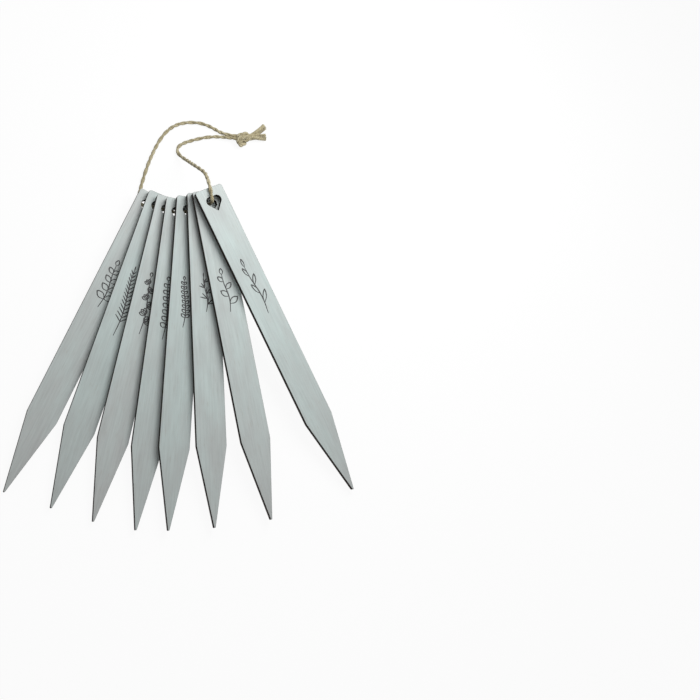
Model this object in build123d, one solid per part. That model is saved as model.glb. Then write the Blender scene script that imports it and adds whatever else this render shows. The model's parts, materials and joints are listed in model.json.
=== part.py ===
"""Eight wooden plant label stakes, fanned out on one knotted loop of jute twine.

Millimetres. The fan lies on the plane z = 0, with its heads towards +Y and its points towards -Y.
The origin is on that plane, under the middle of the row of heart-shaped holes.
"""

import os
from math import asin, atan2, cos, hypot, radians, sin, sqrt, tan

from build123d import *

# Stake, laser-cut from thin plywood
STAKE_LENGTH = 200.0
STAKE_WIDTH = 18.0
STAKE_THICKNESS = 3.0
POINT_LENGTH = 47.0
TIP_WIDTH = 0.8
HEAD_CORNER_RADIUS = 1.6
TIP_CORNER_RADIUS = 0.3

# Heart-shaped hole, measured from the centres of its two round lobes
HEART_WIDTH = 9.8
HEART_LOBE_RADIUS = 2.75
HEART_DROP = 6.6
HEART_INSET = 8.2

# Fan: every stake lies in its own layer, and the layers lean together
LAYER_GAP = 1.2
HEADS_UP_ANGLE = 5.0
LEAN_RIGHT_ANGLE = 8.5
# From the bottom stake to the top one, in degrees: positive swings the point to the right
FAN_ANGLES = [-21.6, -15.3, -9.8, -4.4, -0.8, 5.2, 14.2, 29.6]
# Where each hole lies in its layer, in the same order
HOLE_PLACES = [
    (-18.6, 3.8),
    (-13.0, 2.7),
    (-7.8, 0.1),
    (-2.3, -1.6),
    (3.5, -0.7),
    (9.3, 1.1),
    (12.3, 2.1),
    (14.0, 3.2),
]

# Twine
TWINE_DIAMETER = 2.0
ARC_SHARE = 0.45
ON_TABLE = TWINE_DIAMETER / 2
# Under the bottom stake's head, from near its corner to the hole
LEFT_LEAD = [(-24.3, 12.5, ON_TABLE), (-22.7, 6.6, 2.2)]
# Over the top stake's head, in that stake's own frame, from the hole to the head's edge
LEAD_CLEARANCE = 0.4
LEAD_HEIGHT = STAKE_THICKNESS / 2 + LEAD_CLEARANCE + TWINE_DIAMETER / 2
RIGHT_LEAD = [
    (-1.5, -0.4, 0.0),
    (-1.4, 0.4, LEAD_HEIGHT),
    (0.2, 5.6, LEAD_HEIGHT),
    (1.4, 10.4, LEAD_HEIGHT),
]
# Free stretches of the loop, each from its lead to the knot
LEFT_LOOP = [
    (-21.3, 27.7, ON_TABLE),
    (-18.6, 37.7, ON_TABLE),
    (-15.1, 48.2, ON_TABLE),
    (-10.2, 58.0, ON_TABLE),
    (-3.4, 64.7, ON_TABLE),
    (4.5, 67.5, ON_TABLE),
    (12.8, 67.9, ON_TABLE),
    (19.7, 65.6, ON_TABLE),
    (25.2, 62.8, 1.8),
]
RIGHT_LOOP = [
    (13.2, 18.7, 30.6),
    (10.1, 23.8, 25.6),
    (6.8, 30.2, 17.6),
    (3.9, 36.3, 9.6),
    (1.3, 40.9, 4.0),
    (-1.2, 44.4, 1.5),
    (-2.0, 47.4, ON_TABLE),
    (-0.5, 50.4, ON_TABLE),
    (3.2, 53.0, ON_TABLE),
    (9.4, 55.9, ON_TABLE),
    (16.5, 58.5, ON_TABLE),
    (23.4, 59.3, 1.6),
]

# Overhand knot: the two strands side by side, with a doubled wrap round both
KNOT_PLACE = (39.7, 59.1)
KNOT_ANGLE = -1.0
KNOT_LENGTH = 9.0
KNOT_APPROACH = 5.0
STRAND_GAP = 0.2
WRAP_TURNS = 2
WRAP_ANGLE = 24.0
WRAP_BITE = 0.15
TAIL_ENDS = [(53.2, 69.6, ON_TABLE), (54.2, 62.8, ON_TABLE)]


def heart_outline():
    """A heart with its lobe centres on the X axis and its point down."""
    lobe = HEART_WIDTH / 2 - HEART_LOBE_RADIUS
    reach = hypot(lobe, HEART_DROP)
    slant = atan2(lobe, HEART_DROP) + asin(HEART_LOBE_RADIUS / reach)
    side = sqrt(reach**2 - HEART_LOBE_RADIUS**2)
    tangent_x, tangent_y = side * sin(slant), side * cos(slant) - HEART_DROP
    body = [(0, -HEART_DROP), (tangent_x, tangent_y), (lobe, 0), (-lobe, 0), (-tangent_x, tangent_y)]
    lobes = [Pos(x, 0) * Circle(HEART_LOBE_RADIUS) for x in (-lobe, lobe)]
    return make_face(Polyline(*body, close=True)) + lobes


def stake():
    """One stake, flat, with the middle of its heart's lobes at the origin and its head towards +Y."""
    half, tip = STAKE_WIDTH / 2, TIP_WIDTH / 2
    head = HEART_INSET
    shoulder, end = head - STAKE_LENGTH + POINT_LENGTH, head - STAKE_LENGTH
    outline = [(-half, head), (-half, shoulder), (-tip, end), (tip, end), (half, shoulder), (half, head)]
    blank = make_face(Polyline(*outline, close=True))
    corners = blank.vertices().sort_by(Axis.Y)
    blank = fillet(corners[-2:], HEAD_CORNER_RADIUS)
    blank = fillet(blank.vertices().sort_by(Axis.Y)[:2], TIP_CORNER_RADIUS)
    return extrude(blank - heart_outline(), STAKE_THICKNESS / 2, both=True)


def layer(number):
    """Where one stake lies in the leaning fan, before the fan is set down."""
    pitch = STAKE_THICKNESS + LAYER_GAP
    leaning = Rot(X=HEADS_UP_ANGLE) * Rot(Y=LEAN_RIGHT_ANGLE)
    return leaning * Pos(*HOLE_PLACES[number], number * pitch) * Rot(Z=FAN_ANGLES[number])


def tube(points):
    """A round cord along straight runs joined by arcs as large as the runs allow."""
    points = [Vector(p) for p in points]
    runs = [b - a for a, b in zip(points, points[1:])]
    radii = []
    for before, after in zip(runs, runs[1:]):
        shorter = min(before.length, after.length)
        radii.append(ARC_SHARE * shorter / tan(radians(before.get_angle(after)) / 2))
    path = FilletPolyline(*points, radius=radii)
    section = Plane(origin=path @ 0, z_dir=path % 0) * Circle(TWINE_DIAMETER / 2)
    cord = sweep(section, path=path)
    print("  radii", [round(r, 1) for r in radii])
    print("  volume", round(cord.volume, 1), "section x length", round(section.area * path.length, 1))
    return cord


def wrap_size():
    """Width and height of the knot's wrap, along the middle of its twine."""
    width = 3 * TWINE_DIAMETER + STRAND_GAP - 2 * WRAP_BITE
    height = 2 * TWINE_DIAMETER - 2 * WRAP_BITE
    return width, height


def knot_frame():
    """The knot's middle, with its strands along X and its wrap resting on the plane z = 0."""
    _, wrap_height = wrap_size()
    return Pos(*KNOT_PLACE, (wrap_height + TWINE_DIAMETER) / 2) * Rot(Z=KNOT_ANGLE)


def on_strand(side, along):
    """A point on a strand inside or near the knot: side is 1 for the left stretch, -1 for the right."""
    spread = side * (TWINE_DIAMETER + STRAND_GAP) / 2
    return (knot_frame() * Pos(along, spread, 0)).position


def into_knot(side):
    """The last two points of a stretch, in line with its strand in the knot."""
    entry = -KNOT_LENGTH / 2
    return [on_strand(side, entry - KNOT_APPROACH), on_strand(side, entry)]


def knot():
    """Both strands through the knot and out as tails, held by a doubled wrap."""
    solid = None
    for side, tail_end in zip((1, -1), TAIL_ENDS):
        entry, leaving = (on_strand(side, end * KNOT_LENGTH / 2) for end in (-1, 1))
        strand = tube([entry, leaving, tail_end])
        solid = strand if solid is None else solid + strand
    for turn in range(WRAP_TURNS):
        along = (turn - (WRAP_TURNS - 1) / 2) * (TWINE_DIAMETER - WRAP_BITE)
        place = knot_frame() * Rot(Z=WRAP_ANGLE) * Pos(along, 0, 0) * Rot(Y=90) * Rot(Z=90)
        ring = SlotOverall(*wrap_size()).wire()
        section = Plane(origin=ring @ 0, z_dir=ring % 0) * Circle(TWINE_DIAMETER / 2)
        solid = solid + place * sweep(section, path=ring)
    return solid


def main():
    os.makedirs("parts", exist_ok=True)
    blank = stake()
    fan = [layer(n) * blank for n in range(len(FAN_ANGLES))]
    set_down = Pos(0, 0, -min(piece.bounding_box().min.Z for piece in fan))
    nodes = {f"stake_{n + 1}": set_down * piece for n, piece in enumerate(fan)}

    places = [set_down * layer(n) for n in range(len(FAN_ANGLES))]
    for number, place in enumerate(places, 1):
        axis = Plane(place).z_dir
        print("hinge", number, [round(c, 4) for c in place.position], [round(c, 6) for c in axis])
    lead = [(places[-1] * Pos(*p)).position for p in RIGHT_LEAD]
    holes = [place.position for place in places[:-1]]
    left_exit = (Vector(LEFT_LEAD[0]) + Vector(LEFT_LOOP[0])) / 2
    right_exit = (lead[-1] + Vector(RIGHT_LOOP[0])) / 2
    print("loop exits", [round(c, 4) for c in left_exit], [round(c, 4) for c in right_exit])

    print("twine_threaded")
    nodes["twine_threaded"] = tube([left_exit, *LEFT_LEAD, *holes, *lead, right_exit])
    print("twine_loop_left")
    nodes["twine_loop_left"] = tube([left_exit, *LEFT_LOOP, *into_knot(1)])
    print("twine_loop_right")
    nodes["twine_loop_right"] = tube([right_exit, *RIGHT_LOOP, *into_knot(-1)])
    print("twine_knot")
    nodes["twine_knot"] = knot()

    for name, solid in nodes.items():
        export_step(solid, f"parts/{name}.step")


main()
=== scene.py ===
# %% [markdown]
# # Plant label stakes on a loop of twine
# Eight thin wooden stakes lie fanned out on a white table. A laser cut them from plywood, so their edges
# are burnt dark, and their faces wear a pale grey wash. One length of jute twine runs through the
# heart-shaped holes and ends in an overhand knot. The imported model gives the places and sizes, and this
# lesson dresses it: first the view and the light, then the boards, the drawings on them, the twine and
# its knot.

# %% Load the frame
import json
import random
from math import atan, cos, pi, radians, sin, sqrt, tau

import bmesh
import bpy
from mathutils import Matrix, Vector


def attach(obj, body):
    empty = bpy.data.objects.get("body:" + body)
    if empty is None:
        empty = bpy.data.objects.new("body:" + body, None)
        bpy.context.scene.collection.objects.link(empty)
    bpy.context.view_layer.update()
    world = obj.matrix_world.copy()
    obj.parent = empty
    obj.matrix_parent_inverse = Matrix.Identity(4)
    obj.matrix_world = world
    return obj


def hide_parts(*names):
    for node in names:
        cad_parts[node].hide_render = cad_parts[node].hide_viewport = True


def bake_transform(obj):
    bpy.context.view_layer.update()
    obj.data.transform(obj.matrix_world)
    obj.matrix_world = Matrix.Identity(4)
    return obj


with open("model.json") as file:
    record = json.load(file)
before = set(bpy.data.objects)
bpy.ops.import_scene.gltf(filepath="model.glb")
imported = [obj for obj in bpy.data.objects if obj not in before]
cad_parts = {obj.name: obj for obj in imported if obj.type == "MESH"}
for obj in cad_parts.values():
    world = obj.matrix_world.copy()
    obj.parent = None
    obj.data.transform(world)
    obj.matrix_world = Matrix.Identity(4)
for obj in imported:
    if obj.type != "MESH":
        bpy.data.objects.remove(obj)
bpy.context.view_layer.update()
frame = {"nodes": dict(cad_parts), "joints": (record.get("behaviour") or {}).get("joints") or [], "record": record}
MM = 0.001
joints = {joint["child"]: joint for joint in frame["joints"]}
mounts = {mount["name"]: mount for mount in frame["record"]["mounts"]}
STAKES = sorted(name for name in frame["nodes"] if name.startswith("stake_"))

# %% [markdown]
# ## Where each stake lies
# All eight stakes are the same board, each turned in its own layer of the pile. Grain and drawings could
# be placed on every board by hand, but they are easier to make flat, in the stake's own frame: the heart
# at the origin, the head towards +Y and the painted face up. The hinge of each stake gives the heart's
# place and the face's normal, and the mount at its point gives the long direction, so the frame needs no
# numbers of its own.


# %% Frames of the stakes
def stake_frame(name):
    """Matrix from a stake's own flat frame to the row frame."""
    up = Vector(joints[name]["axis"]).normalized()
    along = -Vector(mounts[f"{name}_point"]["axis"])
    across = along.cross(up).normalized()
    along = up.cross(across)
    turn = Matrix((across, along, up)).transposed()
    return Matrix.Translation(joints[name]["pos_m"]) @ turn.to_4x4()


FRAMES = {name: stake_frame(name) for name in STAKES}
for name in STAKES:
    print(name, "heart at", [round(c, 4) for c in FRAMES[name].translation])

flat = FRAMES[STAKES[0]].inverted()
corners = [flat @ vertex.co for vertex in frame["nodes"][STAKES[0]].data.vertices]
POINT_END = min(corner.y for corner in corners)
HEAD_END = max(corner.y for corner in corners)
HALF_THICKNESS = max(corner.z for corner in corners)
print("a stake reaches from", round(POINT_END / MM, 2), "to", round(HEAD_END / MM, 2), "mm")
print("half its thickness is", round(HALF_THICKNESS / MM, 3), "mm")

# %% [markdown]
# ## Camera
# The picture is taken from about 0.7 m, a little from the left and from the side of the points. That is
# why the left edges of the upper stakes show as dark lines, the heads look narrower than the shoulders,
# and the far walls of the hearts are seen. A camera could be aimed by a Track To constraint. Here its
# three axes are worked out from the two angles, which keeps the row frame's Y axis upright in the
# picture.

# %% Camera
PICTURE_SIDE = 430.0 * MM
PICTURE_CENTRE = Vector((108.5, -79.1, 10.0)) * MM
CAMERA_DISTANCE = 720.0 * MM
FROM_LEFT = radians(14.0)
FROM_POINTS = radians(18.0)

back = Vector((-sin(FROM_LEFT), -sin(FROM_POINTS) * cos(FROM_LEFT), cos(FROM_POINTS) * cos(FROM_LEFT)))
right = Vector((0.0, 1.0, 0.0)).cross(back).normalized()
camera = bpy.data.objects.new("camera", bpy.data.cameras.new("camera"))
bpy.context.scene.collection.objects.link(camera)
bpy.context.scene.camera = camera
camera.data.angle = 2 * atan(PICTURE_SIDE / 2 / CAMERA_DISTANCE)
camera.location = PICTURE_CENTRE + back * CAMERA_DISTANCE
camera.rotation_euler = Matrix((right, back.cross(right), back)).transposed().to_euler()
print("camera at", [round(c, 3) for c in camera.location], "lens", round(camera.data.lens, 1), "mm")

# %% [markdown]
# ## Lamp
# One soft light stands near the heads, to their right. So each stake shades the one below it on the left,
# and the far points are darker than the heads. A sun lamp would light both ends alike, and a point lamp
# would give hard shadows. A disk of light close by does neither, and its size sets how soft the shadows
# are.

# %% Lamp
LAMP_PLACE = Vector((0.14, 0.10, 0.26))
LAMP_TARGET = Vector((0.01, -0.01, 0.0))
LAMP_SIZE = 0.26
LAMP_POWER = 1.12

lamp = bpy.data.objects.new("soft_lamp", bpy.data.lights.new("soft_lamp", "AREA"))
bpy.context.scene.collection.objects.link(lamp)
lamp.data.shape = "DISK"
lamp.data.size = LAMP_SIZE
lamp.data.energy = LAMP_POWER
lamp.location = LAMP_PLACE
lamp.visible_camera = False
lamp.rotation_euler = (LAMP_TARGET - LAMP_PLACE).to_track_quat("-Z", "Y").to_euler()
print("lamp of", LAMP_POWER, "W,", LAMP_SIZE, "m across")

# %% [markdown]
# ## Helpers for nodes
# The room, the table and every finish are small chains of shader nodes. They could be wired by hand in
# the shader editor. In a script a few helpers keep the chains short enough to read: one adds a node and
# fills its sockets, one does a sum, and one starts a material.


# %% Helpers for nodes
def opaque(colour):
    """A colour, or a grey given as one number, with a fourth value for full cover."""
    return (*colour, 1.0) if isinstance(colour, tuple) else (colour, colour, colour, 1.0)


def socket_of(node, key):
    """An input by its name, with underscores for spaces, or by its number, as in _0."""
    number = key.removeprefix("_")
    return node.inputs[int(number)] if number.isdigit() else node.inputs[key.replace("_", " ")]


def add_node(tree, kind, settings=None, **sockets):
    """A new node with its properties set, and each given socket either linked or set to a value."""
    node = tree.nodes.new(kind)
    for key, value in (settings or {}).items():
        setattr(node, key, value)
    for key, value in sockets.items():
        socket = socket_of(node, key)
        if isinstance(value, bpy.types.NodeSocket):
            tree.links.new(value, socket)
        else:
            socket.default_value = value
    return node


def value_of(tree, operation, first, second):
    """The result of a sum on two values."""
    return add_node(tree, "ShaderNodeMath", {"operation": operation}, _0=first, _1=second).outputs[0]


def new_material(name):
    """A node material, its tree and its principled shader."""
    material = bpy.data.materials.new(name)
    material.use_nodes = True
    return material, material.node_tree, material.node_tree.nodes["Principled BSDF"]


print("node helpers ready")

# %% [markdown]
# ## White room
# The ground of the picture is plain white and the shadows are weak, because the room is bright all round.
# A photographed sky dome could give such light, but an even white world is enough. Its strength depends
# on the ray: the eye sees full white, while the object gets only a part of it, so that the lamp still
# shapes it.

# %% White room
ROOM_LIGHT = 0.33


def seen_directly(tree):
    """A value of 1 for rays that show the white surroundings to the eye, and 0 for light on the object."""
    rays = add_node(tree, "ShaderNodeLightPath").outputs
    seen = value_of(tree, "MAXIMUM", rays["Is Camera Ray"], rays["Is Glossy Ray"])
    return value_of(tree, "MAXIMUM", seen, rays["Is Transmission Ray"])


world = bpy.data.worlds.new("white_room")
bpy.context.scene.world = world
world.use_nodes = True
room = world.node_tree
background = room.nodes["Background"]
background.inputs["Color"].default_value = opaque(1.0)
strength = add_node(room, "ShaderNodeMapRange", Value=seen_directly(room), To_Min=ROOM_LIGHT, To_Max=1.0)
room.links.new(strength.outputs["Result"], background.inputs["Strength"])
bpy.context.scene.view_settings.view_transform = "Standard"
print("room light", ROOM_LIGHT)

# %% [markdown]
# ## Table
# The bundle lies on a white surface that the picture shows almost without shadows. A shadow catcher and a
# second layer could do that. Here the table simply mixes two shaders: the eye sees mostly a plain white
# glow and a small share of matt white that takes shadows, and the stakes get the light of a matt white
# table.

# %% Table
TABLE_SIZE = 12.0
TABLE_DROP = 0.1 * MM
TABLE_WHITE = 0.9
SHADOW_LEFT = 0.07

table_white, tree, skin = new_material("white_table")
tree.nodes.remove(skin)
matt = add_node(tree, "ShaderNodeBsdfDiffuse", Color=opaque(TABLE_WHITE)).outputs["BSDF"]
glow = add_node(tree, "ShaderNodeEmission").outputs["Emission"]
plain = value_of(tree, "MULTIPLY", seen_directly(tree), 1.0 - SHADOW_LEFT)
surface = add_node(tree, "ShaderNodeMixShader", Fac=plain, _1=matt, _2=glow).outputs["Shader"]
tree.links.new(surface, tree.nodes["Material Output"].inputs["Surface"])

shape = bmesh.new()
bmesh.ops.create_grid(shape, x_segments=1, y_segments=1, size=TABLE_SIZE / 2)
bmesh.ops.translate(shape, verts=shape.verts, vec=(0.0, 0.0, -TABLE_DROP))
table_mesh = bpy.data.meshes.new("table")
shape.to_mesh(table_mesh)
shape.free()
table_mesh.materials.append(table_white)
table = bpy.data.objects.new("table", table_mesh)
bpy.context.scene.collection.objects.link(table)
print("table", TABLE_SIZE, "m wide")

# %% [markdown]
# ## Helpers for finishes
# Wood, ink and jute all have a colour that drifts from place to place. Image textures could hold that,
# but noise passed through colour ramps works at any size and needs no file. So these helpers make noise,
# turn a value into a colour, mix and shade colours, read a value stored on the mesh, and raise a relief.

# %% Helpers for finishes
EVEN_ROUGHNESS = 0.5


def noise(tree, place, detail, roughness=EVEN_ROUGHNESS, scale=1.0):
    """Soft noise at a place."""
    node = add_node(
        tree, "ShaderNodeTexNoise", Vector=place, Scale=scale, Detail=detail, Roughness=roughness
    )
    return node.outputs["Fac"]


def ramp(tree, value, stops):
    """A value turned into a colour or a grey by a list of (place, colour) stops."""
    node = add_node(tree, "ShaderNodeValToRGB", Fac=value)
    elements = node.color_ramp.elements
    for place, _ in stops[len(elements):]:
        elements.new(place)
    for element, (place, colour) in zip(elements, stops):
        element.position = place
        element.color = opaque(colour)
    return node.outputs["Color"]


def mixed(tree, share, first, second, blend="MIX"):
    """Two colours mixed by a share: inputs 6 and 7 of a Mix node, with the result at output 2."""
    first, second = (opaque(colour) if isinstance(colour, tuple) else colour for colour in (first, second))
    settings = {"data_type": "RGBA", "blend_type": blend}
    return add_node(tree, "ShaderNodeMix", settings, _0=share, _6=first, _7=second).outputs[2]


def shaded(tree, colour, value, stops):
    """A colour darkened by a ramp of a value."""
    return mixed(tree, 1.0, colour, ramp(tree, value, stops), "MULTIPLY")


def attribute(tree, name):
    """A value stored on the mesh."""
    return add_node(tree, "ShaderNodeAttribute", {"attribute_name": name}).outputs["Fac"]


def raise_relief(tree, skin, height, strength, depth):
    """Gives a shader the relief of a height."""
    bump = add_node(tree, "ShaderNodeBump", Strength=strength, Distance=depth, Height=height)
    tree.links.new(bump.outputs["Normal"], skin.inputs["Normal"])


print("finish helpers ready")

# %% [markdown]
# ## Wood grain
# Plywood shows long fibres, short open pores, and here the clouds of a thin wash. Both finishes of a
# board follow this grain, so it is a node group of its own. A picture of wood would repeat from board to
# board. Noise doesn't: stretched along the board it gives fibres, finer it gives pores, and broad it
# gives clouds. It reads the UV map, which holds the board's flat plan in metres.

# %% Wood grain
GRAIN_ROUGHNESS = 0.55
# Scale across and along the board, and detail, of each noise
GRAIN = {
    "Fibre": ((1300.0, 42.0, 1.0), 5.0),
    "Pore": ((2300.0, 130.0, 1.0), 2.0),
    "Cloud": ((95.0, 30.0, 1.0), 3.0),
}

grain = bpy.data.node_groups.new("board_grain", "ShaderNodeTree")
for label in GRAIN:
    grain.interface.new_socket(label, in_out="OUTPUT", socket_type="NodeSocketFloat")
grain_out = grain.nodes.new("NodeGroupOutput")
plan = add_node(grain, "ShaderNodeUVMap", {"uv_map": "plan"}).outputs["UV"]
for label, (scale, detail) in GRAIN.items():
    stretched = add_node(grain, "ShaderNodeMapping", Vector=plan, Scale=scale).outputs["Vector"]
    grain.links.new(noise(grain, stretched, detail, GRAIN_ROUGHNESS), grain_out.inputs[label])
print("grain group with", len(grain.nodes), "nodes")

# %% [markdown]
# ## Grey wash
# The faces are painted with a thin grey wash. It dries cloudy, the fibres show through, and open pores
# keep a little wood colour. It is cooler in the middle of a stake than at its ends, and the laser leaves
# a brown breath along each cut. One flat colour would look like plastic, so each of these is a layer over
# the last: tone, clouds, fibres, pores, breath.

# %% Grey wash
WASH_WARM = (0.515, 0.54, 0.53)
WASH_COOL = (0.48, 0.555, 0.54)
BARE_WOOD = (0.30, 0.25, 0.19)
SCORCH = (0.10, 0.065, 0.045)
# How much cooler the clouds are, and how much less cool each place is from the point to the head
COOL_CLOUDS = [(0.35, 0.0), (0.65, 0.5)]
NEUTRAL_ENDS = [(0.0, 0.5), (0.45, 0.0), (0.78, 0.0), (0.96, 0.4)]
CLOUD_SHADE = [(0.30, 0.86), (0.70, 1.0)]
FIBRE_SHADE = [(0.30, 0.90), (0.62, 1.0)]
OPEN_PORES = [(0.60, 0.0), (0.74, 0.30)]
BREATH_ON_FIBRES = [(0.3, 0.35), (0.7, 0.9)]
BREATH_FADE = 1.7
WASH_ROUGHNESS = [(0.3, 0.80), (0.7, 0.62)]
WASH_BUMP = 0.35
WASH_RELIEF = 0.05 * MM

wash, tree, skin = new_material("grey_wash")
fibres = add_node(tree, "ShaderNodeGroup", {"node_tree": grain}).outputs
on_plan = add_node(tree, "ShaderNodeUVMap", {"uv_map": "plan"}).outputs["UV"]
along = add_node(tree, "ShaderNodeSeparateXYZ", Vector=on_plan).outputs["Y"]
to_head = add_node(tree, "ShaderNodeMapRange", Value=along, From_Min=POINT_END, From_Max=HEAD_END)
coolness = value_of(tree, "ADD", attribute(tree, "tone"), ramp(tree, fibres["Cloud"], COOL_CLOUDS))
coolness = value_of(tree, "SUBTRACT", coolness, ramp(tree, to_head.outputs["Result"], NEUTRAL_ENDS))
colour = mixed(tree, coolness, WASH_WARM, WASH_COOL)
colour = shaded(tree, colour, fibres["Cloud"], CLOUD_SHADE)
colour = shaded(tree, colour, fibres["Fibre"], FIBRE_SHADE)
open_pore = ramp(tree, fibres["Pore"], OPEN_PORES)
colour = mixed(tree, open_pore, colour, BARE_WOOD)
taken_up = ramp(tree, fibres["Fibre"], BREATH_ON_FIBRES)
breath = value_of(tree, "MULTIPLY", attribute(tree, "burn"), taken_up)
colour = mixed(tree, value_of(tree, "POWER", breath, BREATH_FADE), colour, SCORCH)
tree.links.new(colour, skin.inputs["Base Color"])
tree.links.new(ramp(tree, fibres["Fibre"], WASH_ROUGHNESS), skin.inputs["Roughness"])
raise_relief(tree, skin, value_of(tree, "SUBTRACT", fibres["Fibre"], open_pore), WASH_BUMP, WASH_RELIEF)
print("finish", wash.name, "with", len(tree.nodes), "nodes")

# %% [markdown]
# ## Burnt edge
# The laser turns the cut sides of the plywood to char. The middle ply is taken as a shade lighter,
# because its grain runs across, and the glue lines beside it as the darkest. The plies could be modelled
# as three layers, but they are flush, so a value that runs through the thickness picks the colour
# instead.

# %% Burnt edge
CHAR = (0.008, 0.0065, 0.006)
CHAR_MIDDLE = (0.034, 0.020, 0.013)
GLUE_LINE = (0.003, 0.0025, 0.0025)
# From the middle of the thickness outwards
PLY_COLOURS = [(0.24, CHAR_MIDDLE), (0.34, GLUE_LINE), (0.44, CHAR)]
CHAR_FIBRES = [(0.35, 0.55), (0.65, 1.0)]
CHAR_ROUGHNESS = 0.8
CHAR_SPECULAR = 0.2
CHAR_BUMP = 0.6
CHAR_RELIEF = 0.08 * MM

burnt, tree, skin = new_material("burnt_edge")
fibres = add_node(tree, "ShaderNodeGroup", {"node_tree": grain}).outputs
depth = value_of(tree, "ABSOLUTE", attribute(tree, "ply"), 0.0)
colour = shaded(tree, ramp(tree, depth, PLY_COLOURS), fibres["Fibre"], CHAR_FIBRES)
tree.links.new(colour, skin.inputs["Base Color"])
skin.inputs["Roughness"].default_value = CHAR_ROUGHNESS
skin.inputs["Specular IOR Level"].default_value = CHAR_SPECULAR
raise_relief(tree, skin, fibres["Fibre"], CHAR_BUMP, CHAR_RELIEF)
print("finish", burnt.name, "with", len(tree.nodes), "nodes")

# %% [markdown]
# ## Shape of a board
# Each stake is a thin strip with a crisp cut edge. Its outline could be drawn again, but the solid
# already has it exactly, so a board starts as a copy. Merging the doubled corners and dissolving the flat
# triangles gives back two clean faces and a band of sides. A tiny bevel breaks the sharp rim, where dark
# char catches the light, and an inset strip along the rim makes room for the scorched breath.

# %% Shape of a board
MERGE = 0.001 * MM
FLAT_ANGLE = radians(0.5)
RIM_ANGLE = radians(60.0)
RIM_BEVEL = 0.08 * MM
RIM_STEPS = 2
ROUND_PROFILE = 0.5
FACE_SHARE = 0.99
BREATH_WIDTH = 0.2 * MM


def board_shape(name):
    """A bevelled copy of a stake's solid, its two painted faces and the strips along their rims."""
    shape = bmesh.new()
    shape.from_mesh(frame["nodes"][name].data)
    bmesh.ops.remove_doubles(shape, verts=shape.verts, dist=MERGE)
    bmesh.ops.dissolve_limit(shape, angle_limit=FLAT_ANGLE, verts=shape.verts, edges=shape.edges)
    rim = [edge for edge in shape.edges if edge.calc_face_angle() > RIM_ANGLE]
    bmesh.ops.bevel(
        shape,
        geom=rim,
        offset=RIM_BEVEL,
        segments=RIM_STEPS,
        profile=ROUND_PROFILE,
        affect="EDGES",
        material=-1,
    )
    shape.normal_update()
    up = FRAMES[name].to_3x3().col[2]
    faces = [face for face in shape.faces if abs(face.normal.dot(up)) > FACE_SHARE]
    inset = bmesh.ops.inset_region(shape, faces=faces, thickness=BREATH_WIDTH, use_even_offset=True)
    return shape, faces, inset["faces"]


print("rims bevelled by", RIM_BEVEL / MM, "mm, breath", BREATH_WIDTH / MM, "mm wide")

# %% [markdown]
# ## Boards
# The two finishes need to know where they are on a board: how near to the cut, how deep in the plies, and
# where on the flat plan. A shader could guess that from coordinates, but the boards are turned and
# leaning, so each value is stored on the mesh. The plan of each board is shifted, so no two boards share
# their grain, and the tone of the wash differs a little from board to board, as it does in the picture.

# %% Boards
SMOOTH_ANGLE = radians(35.0)
PLAN_STEP = 0.37
COOLNESS = [0.25, 0.65, 0.3, 0.5, 0.65, 0.45, 0.4, 0.6]
WASHED, BURNT = 0, 1


def store_places(shape, faces, flat, coolness, shift):
    """Stores on a board what its finishes read: nearness to the cut, depth, tone and flat plan."""
    burn = shape.verts.layers.float.new("burn")
    ply = shape.verts.layers.float.new("ply")
    tone = shape.verts.layers.float.new("tone")
    inner = {vert for face in faces for vert in face.verts}
    for vert in shape.verts:
        vert[burn] = 0.0 if vert in inner else 1.0
        vert[ply] = (flat @ vert.co).z / HALF_THICKNESS
        vert[tone] = coolness
    plan = shape.loops.layers.uv.new("plan")
    for face in shape.faces:
        for loop in face.loops:
            place = flat @ loop.vert.co
            loop[plan].uv = (place.x + shift, place.y)


def board(name, coolness, shift):
    """A dressed copy of a stake."""
    shape, faces, strips = board_shape(name)
    for face in shape.faces:
        face.material_index = BURNT
        face.smooth = True
    for face in [*faces, *strips]:
        face.material_index = WASHED
    store_places(shape, faces, FRAMES[name].inverted(), coolness, shift)
    mesh = bpy.data.meshes.new(f"board_{name}")
    shape.to_mesh(mesh)
    shape.free()
    mesh.set_sharp_from_angle(angle=SMOOTH_ANGLE)
    mesh.materials.append(wash)
    mesh.materials.append(burnt)
    piece = bpy.data.objects.new(f"board_{name}", mesh)
    bpy.context.scene.collection.objects.link(piece)
    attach(piece, name)
    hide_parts(name)
    return piece


for number, (name, coolness) in enumerate(zip(STAKES, COOLNESS)):
    piece = board(name, coolness, number * PLAN_STEP)
    print(piece.name, len(piece.data.polygons), "faces")

# %% [markdown]
# ## Lines
# Twine and pen strokes are both lines that a hand has bent. Such a line could be drawn point by point,
# but a NURBS spline of order 3 needs only a few points and has no kinks. Reading the spline back as a
# mesh gives close points, and these are then spaced evenly, so that a twist or a swelling runs evenly
# too.

# %% Lines
SPLINE_STEPS = 24
SPLINE_ORDER = 3


def smooth_line(points):
    """Close points on the NURBS spline that the given points control."""
    curve = bpy.data.curves.new("route", "CURVE")
    curve.dimensions = "3D"
    curve.resolution_u = SPLINE_STEPS
    spline = curve.splines.new("NURBS")
    spline.points.add(len(points) - 1)
    for target, point in zip(spline.points, points):
        target.co = (*point, 1.0)
    spline.order_u = SPLINE_ORDER
    spline.use_endpoint_u = True
    holder = bpy.data.objects.new("route", curve)
    mesh = bpy.data.meshes.new_from_object(holder)
    line = [vertex.co.copy() for vertex in mesh.vertices]
    bpy.data.objects.remove(holder)
    bpy.data.meshes.remove(mesh)
    bpy.data.curves.remove(curve)
    return line


def length_of(line):
    """Length of a line of points."""
    return sum((b - a).length for a, b in zip(line, line[1:]))


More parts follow.
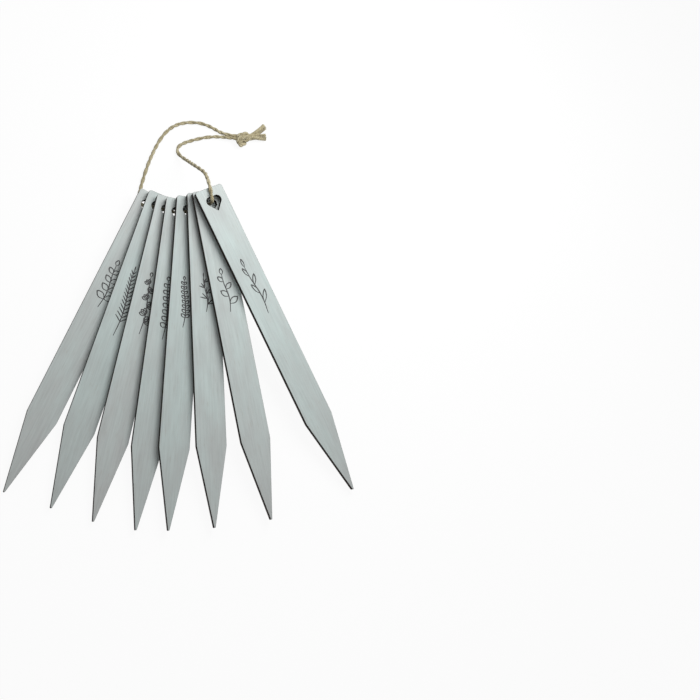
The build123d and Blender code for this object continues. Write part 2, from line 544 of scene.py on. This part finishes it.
def even_line(line, step):
    """The same line with points at even distances."""
    total = length_of(line)
    count = max(2, round(total / step))
    points, walked, segment = [], 0.0, 0
    for number in range(count + 1):
        distance = total * number / count
        run = (line[segment + 1] - line[segment]).length
        while walked + run < distance and segment < len(line) - 2:
            walked += run
            segment += 1
            run = (line[segment + 1] - line[segment]).length
        share = min(1.0, (distance - walked) / run) if run else 0.0
        points.append(line[segment].lerp(line[segment + 1], share))
    return points


print("line helpers ready")

# %% [markdown]
# ## Tubes
# A pen stroke, a yarn and a hair are all round and get thicker and thinner on their way. A circle could
# be extruded along each line, but a curve with a bevel does this at once, and its points carry a
# thickness. The curve is read back as a mesh, so that every piece is an ordinary mesh with a finish.


# %% Tubes
def round_tubes(paths, radius, roundness):
    """A mesh of round tubes along paths of (point, thickness) pairs."""
    curve = bpy.data.curves.new("tubes", "CURVE")
    curve.dimensions = "3D"
    curve.bevel_depth = radius
    curve.bevel_resolution = roundness
    curve.use_fill_caps = True
    for path in paths:
        spline = curve.splines.new("POLY")
        spline.points.add(len(path) - 1)
        for target, (point, thickness) in zip(spline.points, path):
            target.co = (*point, 1.0)
            target.radius = thickness
    holder = bpy.data.objects.new("tubes", curve)
    mesh = bpy.data.meshes.new_from_object(holder)
    bpy.data.objects.remove(holder)
    bpy.data.curves.remove(curve)
    return mesh


def new_piece(name, mesh, material):
    """A mesh as a named piece with its finish."""
    mesh.name = name
    mesh.materials.append(material)
    for polygon in mesh.polygons:
        polygon.use_smooth = True
    piece = bpy.data.objects.new(name, mesh)
    bpy.context.scene.collection.objects.link(piece)
    return piece


print("tube helpers ready")

# %% [markdown]
# ## Ink
# The marks on the stakes are drawn with a black pen. Ink soaks in unevenly, so some places dry paler and
# more matt. A drawing could be an image on the wash, but strokes that are pieces of their own stay sharp
# at any size. Their finish then needs only small patches, from noise at the place on the object.

# %% Ink
INK_PATCH_SCALE = 900.0
INK_PATCH_DETAIL = 2.0
INK_COLOURS = [(0.42, (0.010, 0.010, 0.011)), (0.72, (0.034, 0.034, 0.034))]
INK_ROUGHNESS = [(0.40, 0.45), (0.70, 0.75)]

ink, tree, skin = new_material("pen_ink")
where = add_node(tree, "ShaderNodeTexCoord").outputs["Object"]
patches = noise(tree, where, INK_PATCH_DETAIL, scale=INK_PATCH_SCALE)
tree.links.new(ramp(tree, patches, INK_COLOURS), skin.inputs["Base Color"])
tree.links.new(ramp(tree, patches, INK_ROUGHNESS), skin.inputs["Roughness"])
print("ink", ink.name)

# %% [markdown]
# ## Shape of a sprig
# Each stake carries a mark below its head. Here the marks are plain herb sprigs: a swaying stem with
# leaves in pairs or turn by turn, as outlines, needles or small fans. Each could be drawn by hand. One
# function with a few sizes makes them all instead, so eight different sprigs still look as if one hand
# had drawn them.

# %% Shape of a sprig
SPRIG_SWAY = 1.1
STEM_WAVES = 0.8
STEM_POINTS = 7
FIRST_NODE = 0.22
LEAF_SHOULDER = 0.32
LEAF_WAIST = 0.74
LEAF_BELLY = 1.3
NEEDLE_BEND = 0.06
LOBE_SPREAD = radians(34.0)


def leaf(foot, angle, length, width):
    """Control points of one leaf: a pointed outline, or a single needle where it has no width."""
    along = Vector((sin(angle), cos(angle), 0.0))
    across = Vector((cos(angle), -sin(angle), 0.0)) * width * length / 2
    tip = foot + along * length
    low, high = foot + along * length * LEAF_SHOULDER, foot + along * length * LEAF_WAIST
    if not width:
        return [foot, low + Vector((0.0, length * NEEDLE_BEND, 0.0)), tip]
    belly = across * LEAF_BELLY
    return [foot, low + belly, high + across, tip, tip, high - across, low - belly, foot]


def sprig(height, nodes, first, last, width, open_first, open_last, lobes, paired):
    """Strokes of a sprig that grows from the origin towards +Y, in millimetres."""
    def on_stem(share):
        return Vector((SPRIG_SWAY * sin(share * tau * STEM_WAVES), share * height, 0.0))

    strokes = [[on_stem(number / (STEM_POINTS - 1)) for number in range(STEM_POINTS)]]
    for node in range(nodes):
        share = node / nodes
        foot = on_stem(FIRST_NODE + (1.0 - FIRST_NODE) * share)
        length = first + (last - first) * share
        opening = radians(open_first + (open_last - open_first) * share)
        sides = (-1, 1) if paired else (1 - 2 * (node % 2),)
        for side in sides:
            for lobe in range(lobes):
                turn = side * opening + (lobe - (lobes - 1) / 2) * LOBE_SPREAD
                strokes.append(leaf(foot, turn, length, width))
    strokes.append(leaf(on_stem(1.0), 0.0, last, width))
    return strokes


print("sprig helpers ready")

# %% [markdown]
# ## Drawings
# A pen stroke is thin at both ends and swells in its middle, and the ink lies on the wash as a film. The
# strokes could be flat ribbons, but tubes that are pressed almost flat are closed shapes and still catch
# the light at their rims. Each drawing is made flat and then moved onto its stake by the stake's own
# frame.

# %% Drawings
SPRIG_TOP = -44.0
STROKE_RADIUS = 0.36 * MM
STROKE_STEP = 0.45 * MM
STROKE_END = 0.55
STROKE_ROUNDNESS = 1
INK_FILM = 0.10
# Height, nodes, leaf length at the foot and the top, width share, angle at the foot and the top,
# lobes, and whether the leaves stand in pairs
SPRIGS = [
    (28.0, 4, 6.2, 3.8, 0.50, 62.0, 42.0, 1, True),
    (42.0, 13, 5.2, 2.8, 0.00, 48.0, 30.0, 1, True),
    (36.0, 6, 4.2, 2.8, 0.50, 58.0, 40.0, 3, False),
    (36.0, 7, 3.8, 2.6, 0.64, 62.0, 45.0, 1, True),
    (29.0, 8, 3.0, 2.2, 0.50, 56.0, 40.0, 1, True),
    (21.0, 5, 5.0, 2.8, 0.00, 46.0, 30.0, 3, False),
    (23.0, 4, 6.4, 3.8, 0.46, 55.0, 36.0, 1, False),
    (31.0, 4, 8.4, 5.4, 0.22, 26.0, 16.0, 1, False),
]


def pen_stroke(points):
    """A stroke with its swelling, in metres."""
    line = even_line(smooth_line([point * MM for point in points]), STROKE_STEP)
    turns = [pi * number / (len(line) - 1) for number in range(len(line))]
    return [(point, STROKE_END + (1.0 - STROKE_END) * sin(turn)) for point, turn in zip(line, turns)]


for name, design in zip(STAKES, SPRIGS):
    mesh = round_tubes([pen_stroke(stroke) for stroke in sprig(*design)], STROKE_RADIUS, STROKE_ROUNDNESS)
    foot = (SPRIG_TOP - design[0]) * MM
    on_face = Matrix.Translation((0.0, foot, HALF_THICKNESS)) @ Matrix.Diagonal((1.0, 1.0, INK_FILM, 1.0))
    mesh.transform(FRAMES[name] @ on_face)
    drawing = new_piece(f"drawing_{name}", mesh, ink)
    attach(drawing, name)
    print(drawing.name, len(mesh.polygons), "faces")

# %% [markdown]
# ## Jute
# Jute is a bundle of coarse plant fibres, from straw to brown, twisted into a yarn. Its fibres could be
# real strands, but thousands of them would be too heavy, so they are noise on the yarn. The UV map runs
# along and around each yarn, and the cosine and sine of the angle around it give a pattern without a
# seam. A second, slow noise makes some stretches darker than others.

# %% Jute
YARN_TWIST = 6.0 * MM
FIBRES_AROUND = 2.4
FIBRES_ALONG = 260.0
FIBRE_DETAIL = 4.0
FIBRE_ROUGHNESS = 0.6
PATCHES_ALONG = 70.0
PATCH_DETAIL = 2.0
JUTE_COLOURS = [(0.28, (0.14, 0.113, 0.060)), (0.48, (0.35, 0.305, 0.188)), (0.68, (0.58, 0.54, 0.39))]
PATCH_SHADE = [(0.3, (0.78, 0.76, 0.70)), (0.7, (1.0, 1.0, 1.0))]
JUTE_ROUGHNESS = 0.85
JUTE_SPECULAR = 0.25
JUTE_SHEEN = 0.2
JUTE_BUMP = 0.8
JUTE_RELIEF = 0.2 * MM

jute, tree, skin = new_material("jute")
yarn_map = add_node(tree, "ShaderNodeUVMap", {"uv_map": "yarn"}).outputs["UV"]
on_yarn = add_node(tree, "ShaderNodeSeparateXYZ", Vector=yarn_map).outputs
winding = value_of(tree, "MULTIPLY", on_yarn["X"], tau / YARN_TWIST)
turn = value_of(tree, "ADD", value_of(tree, "MULTIPLY", on_yarn["Y"], tau), winding)
around_x = value_of(tree, "MULTIPLY", value_of(tree, "COSINE", turn, 0.0), FIBRES_AROUND)
around_y = value_of(tree, "MULTIPLY", value_of(tree, "SINE", turn, 0.0), FIBRES_AROUND)
along = value_of(tree, "MULTIPLY", on_yarn["X"], FIBRES_ALONG)
place = add_node(tree, "ShaderNodeCombineXYZ", X=around_x, Y=around_y, Z=along).outputs["Vector"]
fibre = noise(tree, place, FIBRE_DETAIL, FIBRE_ROUGHNESS)
slowly = value_of(tree, "MULTIPLY", on_yarn["X"], PATCHES_ALONG)
stretch = add_node(tree, "ShaderNodeCombineXYZ", X=slowly).outputs["Vector"]
colour = shaded(tree, ramp(tree, fibre, JUTE_COLOURS), noise(tree, stretch, PATCH_DETAIL), PATCH_SHADE)
tree.links.new(colour, skin.inputs["Base Color"])
skin.inputs["Roughness"].default_value = JUTE_ROUGHNESS
skin.inputs["Specular IOR Level"].default_value = JUTE_SPECULAR
skin.inputs["Sheen Weight"].default_value = JUTE_SHEEN
raise_relief(tree, skin, fibre, JUTE_BUMP, JUTE_RELIEF)
print("jute", jute.name, "with", len(tree.nodes), "nodes")

# %% [markdown]
# ## Two plies
# The twine is two yarns twisted round each other, so its outline is scalloped and its bands of light and
# dark lean. One smooth tube with a bump would keep a straight outline. So each yarn is a tube of its own,
# which winds round the route in a helix whose pitch and thickness wander a little. Towards a cut end the
# twist opens, and the yarns spread and swell.

# %% Two plies
TWIST_PITCH = 10.0 * MM
PITCH_WANDER = 0.7
PITCH_BEAT = 0.37
PLY_RADIUS = 0.74 * MM
PLY_OFFSET = 0.42 * MM
PLY_WANDER = 0.07
PLY_BEAT = 0.61
OPEN_SPREAD = 0.9
OPEN_SWELL = 0.6
WANDER_SEED = 11
chance = random.Random(WANDER_SEED)


def steady_sides(points):
    """A pair of side directions at each point that turn as little as possible along the line."""
    tangents = [(b - a).normalized() for a, b in zip(points, points[1:])]
    tangents.append(tangents[-1])
    side = tangents[0].orthogonal().normalized()
    sides = []
    for tangent in tangents:
        side = (side - tangent * side.dot(tangent)).normalized()
        sides.append((side, tangent.cross(side)))
    return sides


def plies(points, swell=1.0, open_length=0.0):
    """Two wandering helical paths round evenly spaced points, which may open towards their end."""
    sides = steady_sides(points)
    step = length_of(points) / (len(points) - 1)
    shift, phase = (chance.uniform(0.0, tau) for _ in range(2))
    paths = []
    for start in (shift, shift + pi):
        path = []
        for number, (point, (first, second)) in enumerate(zip(points, sides)):
            to_end = (len(points) - 1 - number) * step
            opening = max(0.0, 1.0 - to_end / open_length) if open_length else 0.0
            travel = tau * (number * step - opening**2 * open_length / 2) / TWIST_PITCH
            angle = start + travel + PITCH_WANDER * sin(travel * PITCH_BEAT + shift)
            spread = PLY_OFFSET * swell * (1.0 + OPEN_SPREAD * opening)
            place = point + spread * (cos(angle) * first + sin(angle) * second)
            fullness = 1.0 + PLY_WANDER * sin(travel * PLY_BEAT + phase + start)
            path.append((place, swell * fullness * (1.0 + OPEN_SWELL * opening)))
        paths.append(path)
    return paths


def yarn_mesh(paths, radius, roundness):
    """Tubes whose UV map runs along them, in metres by the length of the first tube."""
    mesh = round_tubes(paths, radius, roundness)
    layer = mesh.uv_layers[0]
    layer.name = "yarn"
    reach = length_of([point for point, _ in paths[0]])
    for entry in layer.uv:
        entry.vector = (entry.vector[0] * reach, entry.vector[1])
    return mesh


print("twine", round(2 * (PLY_RADIUS + PLY_OFFSET) / MM, 2), "mm across its plies")

# %% [markdown]
# ## Loose hairs
# Short fibres stand off any jute, and a cut end frays into a tuft. A hair particle system could grow
# them, but it isn't a mesh and would be lost in the export. So each hair is a thin tube of a few points
# that leaves the twine at a random place and leans along it. No hair goes below the table.

# %% Loose hairs
TWINE_DIAMETER = 2.3 * MM
RING_STEP = 0.35 * MM
HAIR_RADIUS = 0.035 * MM
HAIR_ROOT = 0.75
HAIR_LENGTH = (0.8 * MM, 2.4 * MM)
HAIR_LIFT = (0.15, 0.7)
HAIR_POINTS = 4
HAIR_TAPER = 0.7
# Last stretch of each strand of the knot, where the plies open
OPEN_LENGTH = 14.0 * MM
TUFT_START = (0.6, 1.0)
TUFT_REACH = 2.1 * MM
TUFT_ROOT = 0.4
TUFT_BEYOND = (-1.2 * MM, 0.6 * MM)
TUFT_RADIUS = 0.13 * MM
TUFT_STEP = 4
TUFT_TAPER = 0.5


def hairs(line, count):
    """Thin curved paths that leave the twine at random places."""
    points = even_line(line, RING_STEP)
    sides = steady_sides(points)
    paths = []
    for _ in range(count):
        number = chance.randrange(1, len(points) - 1)
        first, second = sides[number]
        angle = chance.uniform(0.0, tau)
        out = cos(angle) * first + sin(angle) * second
        along = (points[number + 1] - points[number - 1]).normalized() * chance.choice((-1.0, 1.0))
        length = chance.uniform(*HAIR_LENGTH)
        lift = chance.uniform(*HAIR_LIFT)
        root = points[number] + out * (TWINE_DIAMETER / 2 * HAIR_ROOT)
        path = []
        for piece in range(HAIR_POINTS):
            share = piece / (HAIR_POINTS - 1)
            place = root + length * (along * share + out * lift * share * share)
            place.z = max(place.z, HAIR_RADIUS)
            path.append((place, 1.0 - HAIR_TAPER * share))
        paths.append(path)
    return paths


def tuft(line, count):
    """Loose fibres round the open end of a line."""
    points = even_line(line, RING_STEP)
    sides = steady_sides(points)
    last = len(points) - 1
    paths = []
    for _ in range(count):
        start = last - round(chance.uniform(*TUFT_START) * OPEN_LENGTH / RING_STEP)
        angle = chance.uniform(0.0, tau)
        reach = TUFT_REACH * sqrt(chance.random())
        beyond = chance.uniform(*TUFT_BEYOND)
        path = []
        for number in range(start, last + 1, TUFT_STEP):
            share = (number - start) / (last - start)
            first, second = sides[number]
            out = (cos(angle) * first + sin(angle) * second) * reach
            place = points[number] + out * (TUFT_ROOT + (1.0 - TUFT_ROOT) * share)
            place += (points[number] - points[number - 1]).normalized() * beyond * share
            place.z = max(place.z, TUFT_RADIUS)
            path.append((place, TUFT_RADIUS / HAIR_RADIUS * (1.0 - TUFT_TAPER * share)))
        paths.append(path)
    return paths


print("hairs of", [round(length / MM, 1) for length in HAIR_LENGTH], "mm")

# %% [markdown]
# ## Way of the knot
# Both ends of the twine are tied together in one overhand knot: the pair goes round itself and through
# its own loop. A lump with a twine pattern would look wrong from close by, so the knot is really tied.
# Its way is drawn once in the knot's own frame: in from the left, round on the right, slanting down
# across the front, back up behind, and out to the right under the front turn. It is shifted to each side
# for the two strands. Beyond the knot the strands lie side by side at first and then part into two cut
# tails.

# %% Way of the knot
KNOT_MIDDLE = (38.9, 59.9, 3.25)
KNOT_TURN = radians(5.0)
STRAND_SHIFT = 0.9
KNOT_ENTRY = [(-8.4, 0.9, -0.5), (-5.4, 0.7, -0.4)]
KNOT_ROUTE = [
    (-2.4, 0.2, -0.5),
    (0.4, -0.8, -0.7),
    (2.5, -1.0, -0.2),
    (3.7, 0.4, 1.2),
    (2.3, 2.0, 1.7),
    (0.2, 0.0, 2.1),
    (-2.6, -2.6, 1.3),
    (-1.6, -4.8, -0.4),
    (1.9, -2.2, -1.9),
    (-0.6, 0.4, -2.0),
    (-3.2, 1.6, -0.6),
    (-1.2, 1.2, 0.7),
    (2.4, 0.5, 0.5),
    (5.6, 1.2, -0.6),
]
# In the row frame
TAILS = {
    "left": [(48.6, 64.6, 2.6), (53.0, 70.0, 2.7)],
    "right": [(49.2, 62.2, 2.2), (54.2, 62.9, 2.35)],
}


def in_metres(points):
    """Points in millimetres as vectors in metres."""
    return [Vector(point) * MM for point in points]


def beside(points, shift):
    """Points shifted to the left of their way, in plan."""
    moved = []
    for number, point in enumerate(points):
        ahead = points[min(number + 1, len(points) - 1)] - points[max(number - 1, 0)]
        moved.append(point + Vector((-ahead.y, ahead.x, 0.0)).normalized() * shift)
    return moved


knot_frame = Matrix.Translation(KNOT_MIDDLE) @ Matrix.Rotation(KNOT_TURN, 4, "Z")
knot_points = [Vector(point) for point in [*KNOT_ENTRY, *KNOT_ROUTE]]
entries, strands = {}, {}
for side, shift in (("left", STRAND_SHIFT), ("right", -STRAND_SHIFT)):
    in_place = [knot_frame @ point * MM for point in beside(knot_points, shift)]
    entries[side] = in_place[:len(KNOT_ENTRY) + 1]
    strands[side] = [*in_place[len(KNOT_ENTRY):], *in_metres(TAILS[side])]
    print(side, "strand enters the knot at", [round(c / MM, 1) for c in strands[side][0]])

# %% [markdown]
# ## Way of the twine
# The twine goes under the bottom stake, up through the hearts, over the top stake's head and round the
# loop. It could be simulated as a hanging cord, but the picture shows how it fell, so it follows the
# solid twine. The threaded stretch takes the hearts' places from the frame, and the lead over the top
# head is given in that stake's own frame. The free stretches lie on the table in loose curves and run
# into the knot.

# %% Way of the twine
ON_TABLE = 1.2
LEFT_LEAD = [(-24.3, 12.5, ON_TABLE), (-22.7, 6.6, 2.2)]
LEAD_HEIGHT = 2.9
# In the top stake's own frame
RIGHT_LEAD = [
    (-1.5, -0.4, 0.0),
    (-1.4, 0.4, LEAD_HEIGHT),
    (0.2, 5.6, LEAD_HEIGHT),
    (1.4, 10.4, LEAD_HEIGHT),
]
LEFT_LOOP = [
    (-21.3, 27.7, ON_TABLE),
    (-18.6, 37.7, ON_TABLE),
    (-15.1, 48.2, ON_TABLE),
    (-10.2, 58.0, ON_TABLE),
    (-3.4, 64.7, ON_TABLE),
    (4.5, 67.5, ON_TABLE),
    (12.8, 67.9, ON_TABLE),
    (19.7, 65.6, ON_TABLE),
    (24.8, 62.6, 1.8),
]
RIGHT_LOOP = [
    (13.2, 18.7, 30.6),
    (10.1, 23.8, 25.6),
    (6.8, 30.2, 17.6),
    (3.9, 36.3, 9.6),
    (1.3, 40.9, 4.0),
    (-1.2, 44.4, 1.5),
    (-2.0, 47.4, ON_TABLE),
    (-0.5, 50.4, ON_TABLE),
    (3.2, 53.0, ON_TABLE),
    (9.4, 55.9, ON_TABLE),
    (16.5, 58.5, ON_TABLE),
    (23.4, 59.5, 1.6),
]

left_lead = in_metres(LEFT_LEAD)
left_loop = in_metres(LEFT_LOOP)
right_loop = in_metres(RIGHT_LOOP)
right_lead = [FRAMES[STAKES[-1]] @ point for point in in_metres(RIGHT_LEAD)]
holes = [FRAMES[name].translation.copy() for name in STAKES[:-1]]
exits = {"left": (left_lead[0] + left_loop[0]) / 2, "right": (right_lead[-1] + right_loop[0]) / 2}
threaded_line = smooth_line([exits["left"], *left_lead, *holes, *right_lead, exits["right"]])
loop_lines = {
    "left": smooth_line([exits["left"], *left_loop, *entries["left"]]),
    "right": smooth_line([exits["right"], *right_loop, *entries["right"]]),
}
print("threaded", round(length_of(threaded_line) / MM, 1), "mm")
for side, line in loop_lines.items():
    print(side, "stretch", round(length_of(line) / MM, 1), "mm")

# %% [markdown]
# ## Pieces of twine
# On the real object this is one length. Up to the knot it is three pieces here: the threaded stretch rides with
# the twine, and the two free stretches are pieces of their own. Twisting each piece by itself would leave a jump
# at the cuts, so the plies are wound along the whole way first and cut afterwards.

# %% Pieces of twine
HAIRS_PER_METRE = 1300
PLY_ROUNDNESS = 3
HAIR_ROUNDNESS = 0


def nearest(points, place):
    """Number of the point that lies nearest to a place."""
    return min(range(len(points)), key=lambda number: (points[number] - place).length)


whole_line = [*reversed(loop_lines["left"]), *threaded_line[1:], *loop_lines["right"][1:]]
whole_points = even_line(whole_line, RING_STEP)
cuts = {side: nearest(whole_points, place) for side, place in exits.items()}
whole_plies = plies(whole_points)
stretches = {
    "left": [path[cuts["left"]::-1] for path in whole_plies],
    "threaded": [path[cuts["left"]:cuts["right"] + 1] for path in whole_plies],
    "right": [path[cuts["right"]:] for path in whole_plies],
}
lines = {"threaded": threaded_line, **loop_lines}
twines, fuzzes = {}, {}
for label, paths in stretches.items():
    count = round(HAIRS_PER_METRE * length_of(lines[label]))
    ply_mesh = yarn_mesh(paths, PLY_RADIUS, PLY_ROUNDNESS)
    twines[label] = new_piece(f"{label}_twine", ply_mesh, jute)
    hair_mesh = yarn_mesh(hairs(lines[label], count), HAIR_RADIUS, HAIR_ROUNDNESS)
    fuzzes[label] = new_piece(f"{label}_twine_hairs", hair_mesh, jute)
    print(twines[label].name, len(ply_mesh.polygons), "faces,", count, "hairs")

# %% [markdown]
# ## How the twine moves
# Real twine is limp: it stays where the stakes hold it and follows the loop elsewhere. Bones or a cloth simulation
# could do that. Here the threaded stretch rides with the twine, while each free stretch stays baked where it lies,
# and only the place about two centimetres along it is worked out and printed.

# %% How the twine moves
BEND_LENGTH = 18.0 * MM

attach(twines["threaded"], "twine")
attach(fuzzes["threaded"], "twine")
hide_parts("twine_threaded")
for side, line in loop_lines.items():
    bend_end = even_line(line, BEND_LENGTH)[1]
    for piece in (twines[side], fuzzes[side]):
        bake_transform(piece)
    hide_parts(f"twine_loop_{side}")
    even_line(line, RING_STEP)
    print(twines[side].name, "bends over", round((bend_end - exits[side]).length / MM, 1), "mm")

# %% [markdown]
# ## Knot and tails
# The knot is made of the same twine, a little fuller, as the picture shows it. The tails could end in
# clean cuts, but cut jute frays. So the plies open along the tails, and a tuft of loose fibres stands
# round each end. The knot swings with the loop as one stiff piece.

# %% Knot and tails
KNOT_SWELL = 1.2
TUFT_FIBRES = 70

knot_paths, knot_hairs = [], []
for points in strands.values():
    line = smooth_line(points)
    knot_paths += plies(even_line(line, RING_STEP), KNOT_SWELL, OPEN_LENGTH)
    knot_hairs += hairs(line, round(HAIRS_PER_METRE * length_of(line)))
    knot_hairs += tuft(line, TUFT_FIBRES)
knot = new_piece("knot", yarn_mesh(knot_paths, PLY_RADIUS, PLY_ROUNDNESS), jute)
fuzz = new_piece("knot_hairs", yarn_mesh(knot_hairs, HAIR_RADIUS, HAIR_ROUNDNESS), jute)
for piece in (knot, fuzz):
    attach(piece, "hanging_loop")
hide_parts("twine_knot")
print(knot.name, len(knot.data.polygons), "faces,", len(knot_hairs), "hairs")
